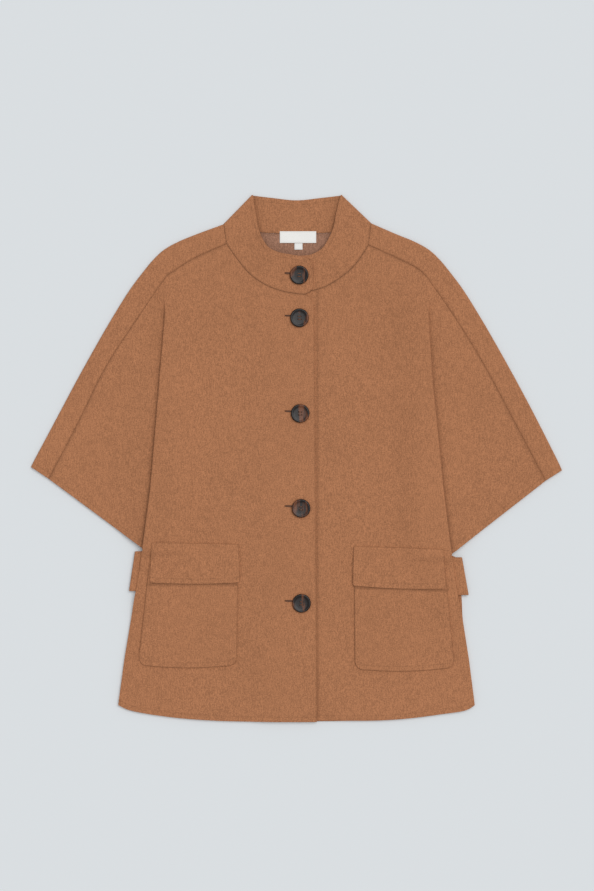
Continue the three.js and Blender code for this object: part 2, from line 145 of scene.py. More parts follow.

# Soft creases: ends, half width and height, in the body and sleeves.
CREASES = [
    ((-150, 250), (-120, 60), 20, 0.8),
    ((-175, 120), (-160, -90), 24, 0.9),
    ((160, 240), (128, 40), 22, 0.8),
    ((178, 90), (168, -100), 26, 0.8),
    ((-60, 190), (-52, -60), 30, 0.6),
    ((70, 160), (62, -120), 28, 0.6),
    ((-215, 250), (-290, 30), 16, 1.0),
    ((-225, 140), (-262, -30), 14, 1.0),
    ((218, 250), (290, 30), 16, 1.0),
    ((230, 150), (268, -40), 14, 0.8),
    ((-150, -325), (-140, -385), 22, 0.7),
    ((150, -330), (160, -385), 24, 0.7),
    ((-40, -240), (-60, -380), 26, 0.5),
    ((70, -260), (60, -380), 24, 0.5),
]


# ---- curves and grids -----------------------------------------------------------------
CURVE_STEPS = 40  # points on a line between two points of a table


def smooth(x, start, stop):
    t = np.clip((np.asarray(x, float) - start) / (stop - start), 0, 1)
    return t * t * (3 - 2 * t)


def sign_of(side):
    return -1 if side == "left" else 1


def between(a, b, start, stop, u):
    return a * (stop - u) / (stop - start) + b * (u - start) / (stop - start)


def curve(points, sign=1):
    """A dense line through points (Catmull-Rom, centripetal), as an array of x, y."""
    p = np.array([(sign * x, y) for x, y in points], float)
    p = np.vstack([2 * p[0] - p[1], p, 2 * p[-1] - p[-2]])
    out = []
    for i in range(1, len(p) - 2):
        quad = p[i - 1 : i + 3]
        spans = [np.linalg.norm(quad[k + 1] - quad[k]) ** 0.5 for k in range(3)]
        knots = np.array([0, *np.cumsum(spans)])
        last = i == len(p) - 3
        u = np.linspace(knots[1], knots[2], CURVE_STEPS, endpoint=last)[:, None]
        a = [between(quad[k], quad[k + 1], knots[k], knots[k + 1], u) for k in range(3)]
        b = [between(a[k], a[k + 1], knots[k], knots[k + 2], u) for k in range(2)]
        out.append(between(b[0], b[1], knots[1], knots[2], u))
    return np.vstack(out)


def length(line):
    return np.linalg.norm(np.diff(line, axis=0), axis=1).sum()


def shares(line):
    run = np.concatenate([[0], np.cumsum(np.linalg.norm(np.diff(line, axis=0), axis=1))])
    return run / run[-1]


def along(line, at):
    s = shares(line)
    return np.stack([np.interp(at, s, line[:, k]) for k in (0, 1)], axis=-1)


def side_x(side, y):
    table = np.array(SIDE[side][::-1], float)
    return np.interp(y, table[:, 0], table[:, 1])


def filled(top, bottom, left, right):
    """Rows of points that fill four edges; top and bottom run across, left and right down."""
    u = shares(top)[None, :, None]
    v = shares(left)[:, None, None]
    rows = (1 - v) * top[None] + v * bottom[None] + (1 - u) * left[:, None] + u * right[:, None]
    rows -= (1 - u) * (1 - v) * top[0] + u * (1 - v) * top[-1]
    return rows - (1 - u) * v * bottom[0] - u * v * bottom[-1]


def raised(rows, z):
    return np.concatenate([rows, np.broadcast_to(z, rows.shape[:-1])[..., None]], axis=-1)


def area(grids):
    total = 0.0
    for g in grids:
        a, b, c, d = g[:-1, :-1], g[:-1, 1:], g[1:, :-1], g[1:, 1:]
        total += np.linalg.norm(np.cross(b - a, c - a), axis=-1).sum() / 2
        total += np.linalg.norm(np.cross(b - d, c - d), axis=-1).sum() / 2
    return total * MM * MM


def ripple(x, y):
    """Height of the soft creases and of the cloth's slight waviness."""
    x, y = np.asarray(x, float), np.asarray(y, float)
    z = np.zeros(np.broadcast(x, y).shape)
    for (x0, y0), (x1, y1), width, height in CREASES:
        dx, dy = x1 - x0, y1 - y0
        t = ((x - x0) * dx + (y - y0) * dy) / (dx * dx + dy * dy)
        d = np.hypot(x - x0 - t * dx, y - y0 - t * dy)
        z += height * np.exp(-((d / width) ** 2)) * smooth(t, -0.15, 0.3) * smooth(t, 1.15, 0.7)
    z += 0.22 * (1 + np.sin(x / 37 + 1.3 * np.sin(y / 61)) * np.cos(y / 83 + 0.8 * np.sin(x / 49)))
    return z


# ---- heights --------------------------------------------------------------------------
def closed(row):
    return np.clip(row / 2, 0, 1)


def fold_depth(row):
    return FOLD_FIRST + (FOLD_DEPTH - FOLD_FIRST) * row / FOLD_ROWS


def front_z(side, x, y):
    """Height of a front's middle: over the sleeve fold, down to the back, and up at the lap."""
    x, y = np.asarray(x, float), np.asarray(y, float)
    top, under = SIDE[side][0][0], UNDERARM[side]
    row = np.clip((top - y) / (top - under) * FOLD_ROWS, 0, FOLD_ROWS)
    below = under - y
    lift = np.where(y >= under, 4 * PITCH * closed(row), PITCH * (4 - 2 * smooth(below, 0, 14)))
    lift = np.where(below > 20, 2 * PITCH * smooth(below, 112, 66), lift)
    flat = np.where(y > under, fold_depth(row) + 6, 34 - 18 * smooth(below, 0, 30))
    inwards = side_x(side, y) - np.abs(x)
    t = np.clip((inwards - flat) / BODY_FALL, 0, 1)
    lift = lift * (1 - t * t * (3 - 2 * t))
    lap = PITCH * smooth(x, LAP_FROM, LAP_TO) if side == "left" else 0
    return FRONT_Z + lift + lap + ripple(x, y)


# ---- edges shared by neighbouring pieces ----------------------------------------------
SLEEVE_N, LOWER_N, SHOULDER_N = 110, 62, 24
T = np.linspace(0, 1, SLEEVE_N)
ROW = T * FOLD_ROWS
OUT = np.linspace(0, 1, 41)[1:] ** 1.5  # columns of the sleeve outside the fold line


class Half:
    """The lines of one side of the coat, left or right in the view from above."""

    def __init__(self, side):
        self.side, self.sign = side, sign_of(side)
        top, under = SIDE[side][0][0], UNDERARM[side]
        self.sleeve_seam = curve(SLEEVE_SEAM[side], self.sign)
        lead = FOLD_LEAD / length(self.sleeve_seam)
        self.shoulder = along(curve(SHOULDER_SEAM[side], self.sign), np.linspace(0, 1, SHOULDER_N))
        y = top + (under - top) * T
        self.fold = np.stack([self.sign * (side_x(side, y) - EDGE_INSET * closed(ROW)), y], -1)
        self.fold[0] = self.shoulder[-1]
        y = np.linspace(under, -364, LOWER_N)[1:]
        lower = np.stack([self.sign * side_x(side, y), y], -1)
        self.edge = np.vstack([self.fold, lower, [[self.sign * HEM_CORNER[0], HEM_CORNER[1]]]])
        self.cuff = along(self.sleeve_seam, lead + (1 - lead) * T)
        outline = [NECK_POINT[side], *OVERARM, *OVERARM_TIP[side]]
        self.outline = curve(outline, self.sign)


HALVES = {side: Half(side) for side in ("left", "right")}


def fold_profile(depth):
    """Offsets outwards and half pitches through the fold, from its edge to the sleeve."""
    turn = np.linspace(0, math.pi, 7)
    s = [BEND * np.sin(turn), -depth * np.linspace(0.25, 1, 4), -depth - BEND * np.sin(turn[1:]),
         -depth * np.linspace(0.75, 0, 4)]
    n = [1 - np.cos(turn), np.full(4, 2.0), 3 - np.cos(turn[1:]), np.full(4, 4.0)]
    return np.concatenate(s), np.concatenate(n)


def sleeve(half, base, way):
    """Rows from the fold's edge through the fold and out to the forward seam. way is 1 for the
    back, folded upwards, and -1 for a front, folded downwards."""
    rows = []
    for t, row, p, q in zip(T, ROW, half.fold, half.cuff):
        k = closed(row)
        reach = np.linalg.norm(q - p)
        outwards = (q - p) / reach
        s, n = fold_profile(fold_depth(row))
        ramp = np.linspace(0, 1, len(s))
        blend = float(np.clip(row - 1, 0, 1))
        folded = p + np.outer(s, (half.sign, 0))
        open_ = p + np.outer(15 * ramp, outwards)
        xy = (1 - blend) * open_ + blend * folded
        n = (1 - blend) * 4 * smooth(ramp, 0, 1) + blend * n
        room = 0.5 * max(0, 1 - abs(row - 1)) if way < 0 else 0
        z = base + k * ((4 * PITCH if way < 0 else 0) + way * BEND * n) + room
        start = xy[-1]
        out = start + np.outer(OUT, q - start)
        away = np.linalg.norm(out - p, axis=1) / min(SLEEVE_FALL, 0.8 * reach)
        low = base + 2 * PITCH * k * (1 - smooth(away, 0.1, 1)) + room * (1 - OUT)
        rows.append(np.column_stack([np.vstack([xy, out]), np.concatenate([z, low])]))
    rows = np.array(rows)
    if way < 0:
        rows[..., 2] += ripple(rows[..., 0], rows[..., 1])
    return rows


def strip(half):
    """Outside the forward seam: out to the outline, round it, and back to the seam on top."""
    first = sleeve(half, BACK_Z, 1)[0][1:, :2]
    seam = np.vstack([half.shoulder, first, half.cuff[1:]])
    out = along(half.outline, shares(seam))
    turn = np.linspace(0, math.pi, 9)
    rows = []
    for q, o in zip(seam, out):
        width = np.linalg.norm(o - q)
        e = (o - q) / width
        flat = width - EDGE_INSET
        away = np.concatenate([flat * np.linspace(0, 1, 8), flat + BEND * np.sin(turn[1:]),
                               np.linspace(flat, SEAM_GAP, 12)[1:]])
        z = np.concatenate([np.full(8, BACK_Z), BACK_Z + BEND * (1 - np.cos(turn[1:])),
                            np.full(11, FRONT_Z)])
        xy = q + np.outer(away, e)
        over = smooth(z, BACK_Z, FRONT_Z)
        z = z + over * (ripple(xy[:, 0], xy[:, 1]) - SEAM_ROLL * np.exp(-((away / 2.5) ** 2)))
        rows.append(np.column_stack([xy, z]))
    return np.array(rows)


STRIPS = {side: strip(half) for side, half in HALVES.items()}
neck_ends = [tuple(STRIPS[side][0][7, :2]) for side in ("left", "right")]
BACK_NECKLINE = along(curve([neck_ends[0], *BACK_NECK, neck_ends[1]]), np.linspace(0, 1, 60))


# ---- meshes ---------------------------------------------------------------------------
FAR = 60.0


def gap_to(points, *lines):
    """How far each point of a grid lies from the nearest of some lines, seen from above."""
    spots = np.vstack([along(line, np.linspace(0, 1, int(length(line)))) for line in lines])
    tree = kdtree.KDTree(len(spots))
    for i, (x, y) in enumerate(spots):
        tree.insert((x, y, 0), i)
    tree.balance()
    gaps = [min(FAR, tree.find((x, y, 0))[2]) for x, y, _ in points.reshape(-1, 3)]
    return np.array(gaps).reshape(points.shape[:2])


def painted_rim_shade(points, top=0.0, foot=0.0, left=0.0, right=0.0):
    """Painted shade for each point of a grid along its borders, where shade falls in a seam or at an
    edge.
    """
    dark = np.zeros(points.shape[:2])
    dark[0], dark[-1] = top, foot
    dark[:, 0] = np.maximum(dark[:, 0], left)
    dark[:, -1] = np.maximum(dark[:, -1], right)
    return dark


def grid_into(bm, points, edge, painted_shade):
    rows, columns = points.shape[:2]
    edge_layer = bm.verts.layers.float["edge"]
    painted_shade_layer = bm.verts.layers.float["painted_shade"]
    made = bmesh.ops.create_grid(bm, x_segments=columns - 1, y_segments=rows - 1, size=1)["verts"]
    edge = np.broadcast_to(edge, (rows, columns)).reshape(-1)
    painted_shade = np.broadcast_to(painted_shade, (rows, columns)).reshape(-1)
    for vert, p, e, c in zip(made, points.reshape(-1, 3), edge, painted_shade):
        vert.co = Vector(p * MM)
        vert[edge_layer], vert[painted_shade_layer] = e, c


def cloth(name, grids, material, edges=None, creases=None, thickness=CLOTH, rim=0.8, inside=None):
    """A cloth piece from grids that share edges, with its thickness and rounded rims. edges
    gives each grid's distance from its turned edges, creases the painted shade at each point, darker
    where shade falls in seams, along edges and beside folds."""
    bm = bmesh.new()
    bm.verts.layers.float.new("edge")
    bm.verts.layers.float.new("painted_shade")
    for points, edge, painted_shade in zip(grids, edges or [FAR] * len(grids), creases or [0.0] * len(grids)):
        grid_into(bm, points, edge, painted_shade)
    bmesh.ops.remove_doubles(bm, verts=bm.verts, dist=2e-5)
    bmesh.ops.recalc_face_normals(bm, faces=bm.faces)
    middle = grids[0].reshape(-1, 3).mean(0) * MM
    near = min(bm.faces, key=lambda f: (f.calc_center_median() - Vector(middle)).length)
    if near.normal.z < 0:
        bmesh.ops.reverse_faces(bm, faces=bm.faces)
    for f in bm.faces:
        f.smooth = True
    mesh = bpy.data.meshes.new(name + "_cloth")
    bm.to_mesh(mesh)
    bm.free()
    if inside is not None:
        tint = mesh.attributes.new("inside", "FLOAT", "POINT")
        tint.data.foreach_set("value", [inside(v.co / MM) for v in mesh.vertices])
    mesh.materials.append(material)
    obj = bpy.data.objects.new(name + "_cloth", mesh)
    bpy.context.collection.objects.link(obj)
    shell = obj.modifiers.new("thickness", "SOLIDIFY")
    shell.thickness, shell.offset = thickness * MM, 0
    soft = obj.modifiers.new("rim", "BEVEL")
    soft.width, soft.segments, soft.limit_method = rim * MM, 3, "ANGLE"
    soft.angle_limit = math.radians(55)
    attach(obj, "root")
    return obj


# ---- materials ------------------------------------------------------------------------
class Sock:
    """A node socket whose sums, products and quotients make Math nodes."""

    def __init__(self, tree, socket):
        self.tree, self.socket = tree, socket

    def _math(self, operation, *others, swap=False):
        node = self.tree.nodes.new("ShaderNodeMath")
        node.operation = operation
        values = [self, *others]
        if swap:
            values.reverse()
        for into, value in zip(node.inputs, values):
            if isinstance(value, Sock):
                self.tree.links.new(value.socket, into)
            else:
                into.default_value = value
        return Sock(self.tree, node.outputs[0])

    def __add__(self, other):
        return self._math("ADD", other)

    def __radd__(self, other):
        return self._math("ADD", other)

    def __sub__(self, other):
        return self._math("SUBTRACT", other)

    def __rsub__(self, other):
        return self._math("SUBTRACT", other, swap=True)

    def __mul__(self, other):
        return self._math("MULTIPLY", other)

    def __rmul__(self, other):
        return self._math("MULTIPLY", other)

    def __truediv__(self, other):
        return self._math("DIVIDE", other)

    def clamp(self):
        return self._math("MINIMUM", 1.0)._math("MAXIMUM", 0.0)

    def away_from(self, value):
        return (self - value)._math("ABSOLUTE")


class Material:
    def __init__(self, name, **sockets):
        self.made = bpy.data.materials.new(name)
        self.made.use_nodes = True
        self.tree = self.made.node_tree
        self.shader = self.tree.nodes["Principled BSDF"]
        for key, value in sockets.items():
            self.shader.inputs[key.replace("_", " ")].default_value = value

    def node(self, kind, output=0, settings=(), **inputs):
        node = self.tree.nodes.new("ShaderNode" + kind)
        for key, value in dict(settings).items():
            setattr(node, key, value)
        for key, value in inputs.items():
            key = int(key[1:]) if key[0] == "i" and key[1:].isdigit() else key.replace("_", " ")
            if isinstance(value, Sock):
                self.tree.links.new(value.socket, node.inputs[key])
            else:
                node.inputs[key].default_value = value
        return Sock(self.tree, node.outputs[output])

    def coords(self):
        return self.node("TexCoord", "Object")

    def noise(self, scale, detail=2.0, rough=0.55, stretch=(1, 1, 1), turn=0.0):
        place = self.node("Mapping", Vector=self.coords(), Scale=stretch, Rotation=(0, 0, turn))
        return self.node("TexNoise", "Fac", Vector=place, Scale=scale, Detail=detail, Roughness=rough)

    def attribute(self, name):
        return self.node("Attribute", "Fac", settings={"attribute_name": name})

    def mix(self, fac, a, b):
        return self.node("Mix", 2, settings={"data_type": "RGBA"}, i0=fac, i6=a, i7=b)

    def bump(self, height, distance, strength=1.0, before=None):
        extra = {"Normal": before} if before else {}
        return self.node("Bump", Height=height, Distance=distance, Strength=strength, **extra)

    def into(self, name, sock):
        self.tree.links.new(sock.socket, self.shader.inputs[name])


def srgb(r, g, b):
    def one(c):
        c /= 255
        return c / 12.92 if c <= 0.04045 else ((c + 0.055) / 1.055) ** 2.4

    return (one(r), one(g), one(b), 1)


def scaled(color, k):
    return (*[c * k for c in color[:3]], 1)


def wool(name, color, inner=None):
    m = Material(name, Roughness=0.92, Sheen_Weight=0.12, Sheen_Roughness=0.5)
    m.shader.inputs["Sheen Tint"].default_value = srgb(220, 180, 150)
    m.shader.inputs["Specular IOR Level"].default_value = 0.15
    broad = m.noise(7, 2)
    patchy = m.noise(95, 3, 0.6)
    fine = m.noise(620, 3, 0.7, stretch=(1, 0.55, 1))
    fibre = m.noise(900, 2, 0.6, stretch=(1, 0.14, 1), turn=0.25)
    grain = m.noise(760, 2, 0.6, stretch=(1, 0.8, 1))
    nap = (0.2 * fine + 0.25 * fibre + 0.42 * grain + 0.08 * patchy + 0.05 * broad - 0.5) * 7.0 + 0.5
    line = (1.0 - m.attribute("edge").away_from(STITCH_IN) / 1.5).clamp()
    shade = m.mix(nap.clamp(), scaled(color, 0.76), scaled(color, 1.24))
    if inner:
        other = m.mix(nap.clamp(), scaled(inner, 0.74), scaled(inner, 1.26))
        shade = m.mix(m.attribute("inside"), shade, other)
    # Painted shade from the mesh attribute: darker in seams, along edges and rims, below flaps, beside
    # the placket and folds and under the collar. A slight darkening is added along the pressed stitch
    # line.
    shade_and_stitch = (0.12 * line + 0.75 * m.attribute("painted_shade")).clamp()
    shade = m.mix(shade_and_stitch, shade, scaled(color, 0.3))
    m.into("Base Color", shade)
    height = 0.5 * fine + 0.3 * fibre + 0.5 * grain + 0.5 * patchy
    soft = m.bump(height, 0.0013, 0.7)
    m.into("Normal", m.bump(1.0 - line, 0.0005, 0.6, before=soft))
    return m.made


WOOL_COLOR = srgb(168, 114, 80)
wool_face = wool("wool", WOOL_COLOR)
wool_back = wool("wool_back", WOOL_COLOR, inner=srgb(156, 115, 94))


def horn():
    m = Material("horn", Roughness=0.3, Coat_Weight=0.1, Coat_Roughness=0.25)
    m.shader.inputs["Specular IOR Level"].default_value = 0.3
    streak = m.noise(85, 3, 0.6, stretch=(1, 0.22, 1), turn=0.5)
    fine = m.noise(420, 3, 0.65)
    fac = ((streak - 0.54) * 9).clamp() * (0.35 + 0.65 * fine)
    m.into("Base Color", m.mix(fac, srgb(20, 14, 13), srgb(122, 70, 40)))
    m.into("Roughness", 0.26 + 0.14 * fine)
    return m.made


def thread(name, color):
    m = Material(name, Roughness=0.7)
    twist = m.noise(2500, 1, 0.5, stretch=(1, 0.3, 1), turn=0.7)
    m.into("Base Color", m.mix(twist, scaled(color, 0.7), scaled(color, 1.25)))
    m.into("Normal", m.bump(twist, 0.0002, 0.6))
    return m.made


def satin():
    m = Material("label", Roughness=0.55, Sheen_Weight=0.1)
    weave = m.noise(1800, 1, 0.5, stretch=(0.15, 1, 1))
    warp = m.noise(1800, 1, 0.5, stretch=(1, 0.15, 1))
    both = 0.5 * weave + 0.5 * warp
    line = (1.0 - m.attribute("edge").away_from(1.4) / 0.5).clamp()
    shade = m.mix(both, srgb(222, 220, 216), srgb(240, 239, 236))
    m.into("Base Color", m.mix(line * 0.35, shade, srgb(170, 165, 158)))
    m.into("Normal", m.bump(both, 0.0002, 0.4))
    return m.made


# ---- cloth pieces ---------------------------------------------------------------------
def front(side, node):
    half = HALVES[side]
    neck = along(curve(NECKLINE[side]), np.linspace(0, 1, 62))
    top = np.vstack([half.shoulder[::-1], neck[1:]])
    hem = curve(HEM[side])
    bottom = along(hem, shares(top))
    y = half.edge[:, 1]
    share = (y[0] - y) / (y[0] - y[-1])
    start, stop = LAP_EDGE[side]
    y = start + (stop - start) * share
    if side == "left":
        x = np.interp(-y, [-at for at, _ in LAP_ROUND], [out for _, out in LAP_ROUND])
    else:
        x = np.full(len(y), LAP_UNDER)
    right = np.stack([x, y], -1)
    rows = filled(top, bottom, half.edge, right)
    z = front_z(side, rows[..., 0], rows[..., 1])
    n = len(T)
    arm = sleeve(half, FRONT_Z, -1)
    z[:n, 0] = arm[:, 0, 2]
    body = raised(rows, 0)
    body[..., 2] = z
    edges = [gap_to(body, hem), gap_to(arm, arm[-1][20:, :2])]
    # Painted shade along the seams and the turned front edge.
    creases = [painted_rim_shade(body, top=SEAM_PAINTED_SHADE, right=EDGE_PAINTED_SHADE),
               painted_rim_shade(arm, top=SEAM_PAINTED_SHADE, right=SEAM_PAINTED_SHADE)]
    # Painted shadow on the sleeve just outside the fold's edge, stronger towards the underarm.
    open_sleeve = arm[:, len(fold_profile(1)[0]):, :2]
    outside = np.linalg.norm(open_sleeve - half.fold[:, None], axis=-1) - EDGE_INSET
    outside = np.maximum(0, outside)
    deep = 0.62 * np.exp(-((outside / 4.5) ** 2)) + 0.2 * np.exp(-outside / 13)
    deep *= (0.35 + 0.65 * T[:, None]) * smooth(T, 0, 0.05)[:, None] * FOLD_SHADE[side]
    shown = creases[1][:, -deep.shape[1]:]
    creases[1][:, -deep.shape[1]:] = np.maximum(shown, deep)
    # Painted shadow on the lower front beside the placket's edge.
    if side == "right":
        x = body[..., 0]
        beside = PLACKET_PAINTED_SHADOW * smooth(x, 28, 31) * smooth(x, 35, 31.5)
        creases[0] = np.maximum(creases[0], beside)
    obj = cloth(node, [body, arm], wool_face, edges, creases)
    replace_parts(obj, node)
    area([body, arm])


def back():
    left, right = HALVES["left"], HALVES["right"]
    ends = {side: STRIPS[side][0][:8, :2] for side in HALVES}
    top = np.vstack([left.shoulder[::-1], ends["left"][1:], BACK_NECKLINE[1:-1],
                     ends["right"][::-1], right.shoulder[1:]])
    hem = curve([*HEM["left"][:5], *HEM["right"][:5][::-1]])
    bottom = along(hem, shares(top)) + (0, 0.4)
    bottom[0], bottom[-1] = left.edge[-1], right.edge[-1]
    shown = right.edge.copy()
    low = shown[len(T):]
    low[:, 0] += 6 * (smooth(low[:, 1], -250, -200) - smooth(low[:, 1], -150, -100))
    body = raised(filled(top, bottom, left.edge, shown), BACK_Z)
    # Painted shadow on the inside of the back near the collar's inner edges, and painted shade along
    # the back's top edge.
    rims = [curve(COLLAR_INNER[side]) for side in HALVES]
    shaded = 0.34 * np.exp(-gap_to(body, *rims) / 7)
    shaded = np.maximum(shaded, painted_rim_shade(body, top=0.5))
    grids, edges, creases = [body], [FAR], [shaded]
    for half in (left, right):
        grids += [sleeve(half, BACK_Z, 1), STRIPS[half.side]]
        edges += [FAR, gap_to(STRIPS[half.side], STRIPS[half.side][-1][:, :2])]
        creases += [0, painted_rim_shade(STRIPS[half.side], right=SEAM_PAINTED_SHADE)]

    def inside(p):
        return float(p.z < BACK_Z + 0.5 and abs(p.x) < 100 and p.y > 225)

    obj = cloth("back", grids, wool_back, edges, creases, inside=inside)
    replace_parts(obj, "back")
    area(grids)


def collar():
    """One band of sections from its rounded end, round the neck, to the covered end."""
    lows, tops, zs, rises = [], [], [], []

    def add(low, top, z, rise):
        lows.append(np.asarray(low, float))
        tops.append(np.asarray(top, float))
        zs.append(z)
        rises.append(rise)

    def limb(side):
        table = NECKLINE[side][:-2] if side == "left" else NECKLINE[side]
        neck = along(curve(table), np.linspace(1, 0, 50))
        low = np.vstack([neck, STRIPS[side][0][1:8, :2]])
        us = shares(low)
        top = along(curve(COLLAR_INNER[side][::-1]), us)
        lap = PITCH * smooth(low[:, 0], LAP_FROM, LAP_TO) * (side == "left")
        return low, top, FRONT_Z + lap, COLLAR_RISE * smooth(us, 1, 0.35)

    for low, top in COLLAR_END[::-1]:
        add(low, top, FRONT_Z + PITCH, COLLAR_RISE)
    for item in zip(*limb("left")):
        add(*item)

    def turn(side):
        edge = STRIPS[side][0][8:16, :2]
        top = tops[-1] if side == "left" else right_top
        for i, low in enumerate(edge[:-1]):
            angle = math.pi * (i + 1) / 8
            out = BEND * math.sin(angle)
            z = BACK_Z + BEND * (1 - math.cos(angle))
            yield low, top + out * np.array([sign_of(side) * 0.7, 0.7]), z

    right = [np.array(a)[::-1] for a in limb("right")]
    right_top = right[1][0]
    for low, top, z in list(turn("left"))[::-1]:
        add(low, top, z, 0)
    back_top = along(curve(COLLAR_BACK), shares(BACK_NECKLINE))
    for low, top in zip(BACK_NECKLINE, back_top):
        add(low, top, BACK_Z, 0)
    for low, top, z in turn("right"):
        add(low, top, z, 0)
    for item in zip(*right):
        add(*item)
    lows, tops, zs, rises = (np.array(a, float) for a in (lows, tops, zs, rises))
    e = (tops - lows) / np.linalg.norm(tops - lows, axis=1)[:, None]
    lows = lows + e * SEAM_GAP
    v = np.linspace(0, 1, 22)
    xy = lows[:, None] * (1 - v)[None, :, None] + tops[:, None] * v[None, :, None]
    over = smooth(zs, BACK_Z, FRONT_Z)[:, None]
    bulge = COLLAR_BULGE * np.sin(math.pi * v)[None] * smooth(rises, 0, COLLAR_RISE)[:, None]
    z = zs[:, None] + rises[:, None] * v[None] ** 2
    z = z + over * ripple(xy[..., 0], xy[..., 1]) + bulge
    grid = raised(xy, 0)
    grid[..., 2] = z
    tall = np.linalg.norm(tops - lows, axis=1)[:, None] * (1 - v)[None]
    ends = np.linalg.norm(grid - grid[:1], axis=-1)
    # Painted shade along the collar's top edge and ends, and painted shadow on its back limb near the
    # inner edges.
    dark = painted_rim_shade(grid, top=EDGE_PAINTED_SHADE, left=0.5, right=0.12)
    rims = [curve(COLLAR_INNER[side]) for side in HALVES]
    under = (zs < BACK_Z + 0.01)[:, None] * 0.45 * np.exp(-gap_to(grid, *rims) / 7)
    edge = np.minimum(tall, ends)
    obj = cloth("collar", [grid], wool_face, [edge], [np.maximum(dark, under)])
    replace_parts(obj, "collar")
    area([grid])


def rounded(corners, radius, bow, n=56):
    """Four edges of a patch with round lower corners and a bowed foot."""
    a, b, c, d = (np.array(p, float) for p in corners)
    turn = np.linspace(0, math.pi / 4, 6)[1:]

    def down(start, foot, way):
        stop = foot + (0, radius)
        straight = start + np.outer(np.linspace(0, 1, n), stop - start)
        arc = foot + np.stack([way * radius * (1 - np.cos(turn)), radius * (1 - np.sin(turn))], -1)
        return np.vstack([straight, arc])

    left, right = down(a, c, 1), down(b, d, -1)
    angles = np.linspace(math.pi / 4, math.pi / 2, 6)[:-1]
    first = c + np.stack([radius * (1 - np.cos(angles)), radius * (1 - np.sin(angles))], -1)
    last = (d + np.stack([-radius * (1 - np.cos(angles)), radius * (1 - np.sin(angles))], -1))[::-1]
    u = np.linspace(0, 1, n)
    straight = c + (radius, 0) + np.outer(u, d - c - (2 * radius, 0))
    straight[:, 1] -= bow * np.sin(math.pi * u)
    bottom = np.vstack([first, straight, last])
    top = along(np.array([a, b]), shares(bottom))
    return filled(top, bottom, left, right), bottom


def over_pocket(seam_y):
    """A flap's height over the front: at its seam it lies on it, then climbs onto the pocket."""
    return lambda y: LYING * (1 + smooth(seam_y - y, 2, 26))


def patch(side, name, corners, radius, bow, above, under=None):
    """A pocket, with the flap over it as under, which places the painted shadow just below the flap; or
    a flap.
    """
    rows, foot = rounded(corners, radius, bow)
    x, y = rows[..., 0], rows[..., 1]
    v = np.linspace(0, 1, rows.shape[0])[:, None]
    u = np.linspace(0, 1, rows.shape[1])[None]
    z = front_z(side, x, y) + above(y)
    z = z + PATCH_CROWN * (4 * u * (1 - u) * np.sin(math.pi * v)) ** 0.7
    grid = raised(rows, 0)
    grid[..., 2] = z
    # Painted shade along the patch's rims; a pocket also gets painted shadow just below the flap.
    dark = painted_rim_shade(grid, PATCH_PAINTED_SHADE, PATCH_PAINTED_SHADE, PATCH_PAINTED_SHADE, PATCH_PAINTED_SHADE)
    if under:
        (x0, y0), (x1, y1) = under[2:]
        foot_y = np.interp(x, [x0, x1], [y0, y1]) - 2.5
        dark = np.maximum(dark, UNDER_FLAP_PAINTED_SHADOW * smooth(np.abs(y - foot_y), 3.4, 0.6))
    obj = cloth(name, [grid], wool_face, [gap_to(grid, foot)], [dark], thickness=PRESSED)
    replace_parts(obj, name)
    area([grid])


def strap(side, name):
    top, bottom, edge_top, edge_bottom, inner = STRAPS[side]
    sign = sign_of(side)
    turn = np.linspace(0, math.pi, 9)
    rows = []
    for v in np.linspace(0, 1, 24):
        y = top + (bottom - top) * v
        edge = edge_top + (edge_bottom - edge_top) * v - EDGE_INSET
        x = np.concatenate([np.linspace(inner, edge, 7), edge + BEND * np.sin(turn[1:]),
                            np.linspace(edge, inner, 7)[1:]])
        z = np.concatenate([np.full(7, FRONT_Z), FRONT_Z + BEND * (1 - np.cos(turn[1:])),
                            np.full(6, FRONT_Z + PITCH)])
        rows.append(np.column_stack([sign * x, np.full(len(x), y), z]))
    grid = np.array(rows)
    obj = cloth(name, [grid], wool_face)
    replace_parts(obj, name)
    area([grid])


def woven(name, box, wave):
    x0, x1, y0, y1 = box
    x, y = np.meshgrid(np.linspace(x0, x1, 60), np.linspace(y1, y0, 24))
    z = CLOTH + 0.75 + wave * (1 + np.sin((x - x0) / 9) * np.cos((y - y0) / 7)) / 2
    grid = np.stack([x, y, z], -1)
    outline = np.array([(x0, y0), (x1, y0), (x1, y1), (x0, y1), (x0, y0)], float)
    obj = cloth(name, [grid], satin_label, [gap_to(grid, outline)], thickness=0.6, rim=0.2)
    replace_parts(obj, name)
    area([grid])


satin_label = satin()
back()
# Left and right are as seen from above; the pieces are named for the wearer's sides.
front("left", "front_right")
front("right", "front_left")
collar()
patch("left", "pocket_right", POCKETS["left"], POCKET_CORNER, POCKET_BOW, lambda y: LYING,
      under=FLAPS["left"])
patch("right", "pocket_left", POCKETS["right"], POCKET_CORNER, POCKET_BOW, lambda y: LYING,
      under=FLAPS["right"])
patch("left", "flap_right", FLAPS["left"], FLAP_CORNER, FLAP_BOW, over_pocket(-127))
patch("right", "flap_left", FLAPS["right"], FLAP_CORNER, FLAP_BOW, over_pocket(-133))
strap("left", "strap_right")
strap("right", "strap_left")
woven("neck_label", LABEL, 0.5)
woven("size_tab", TAB, 0.3)


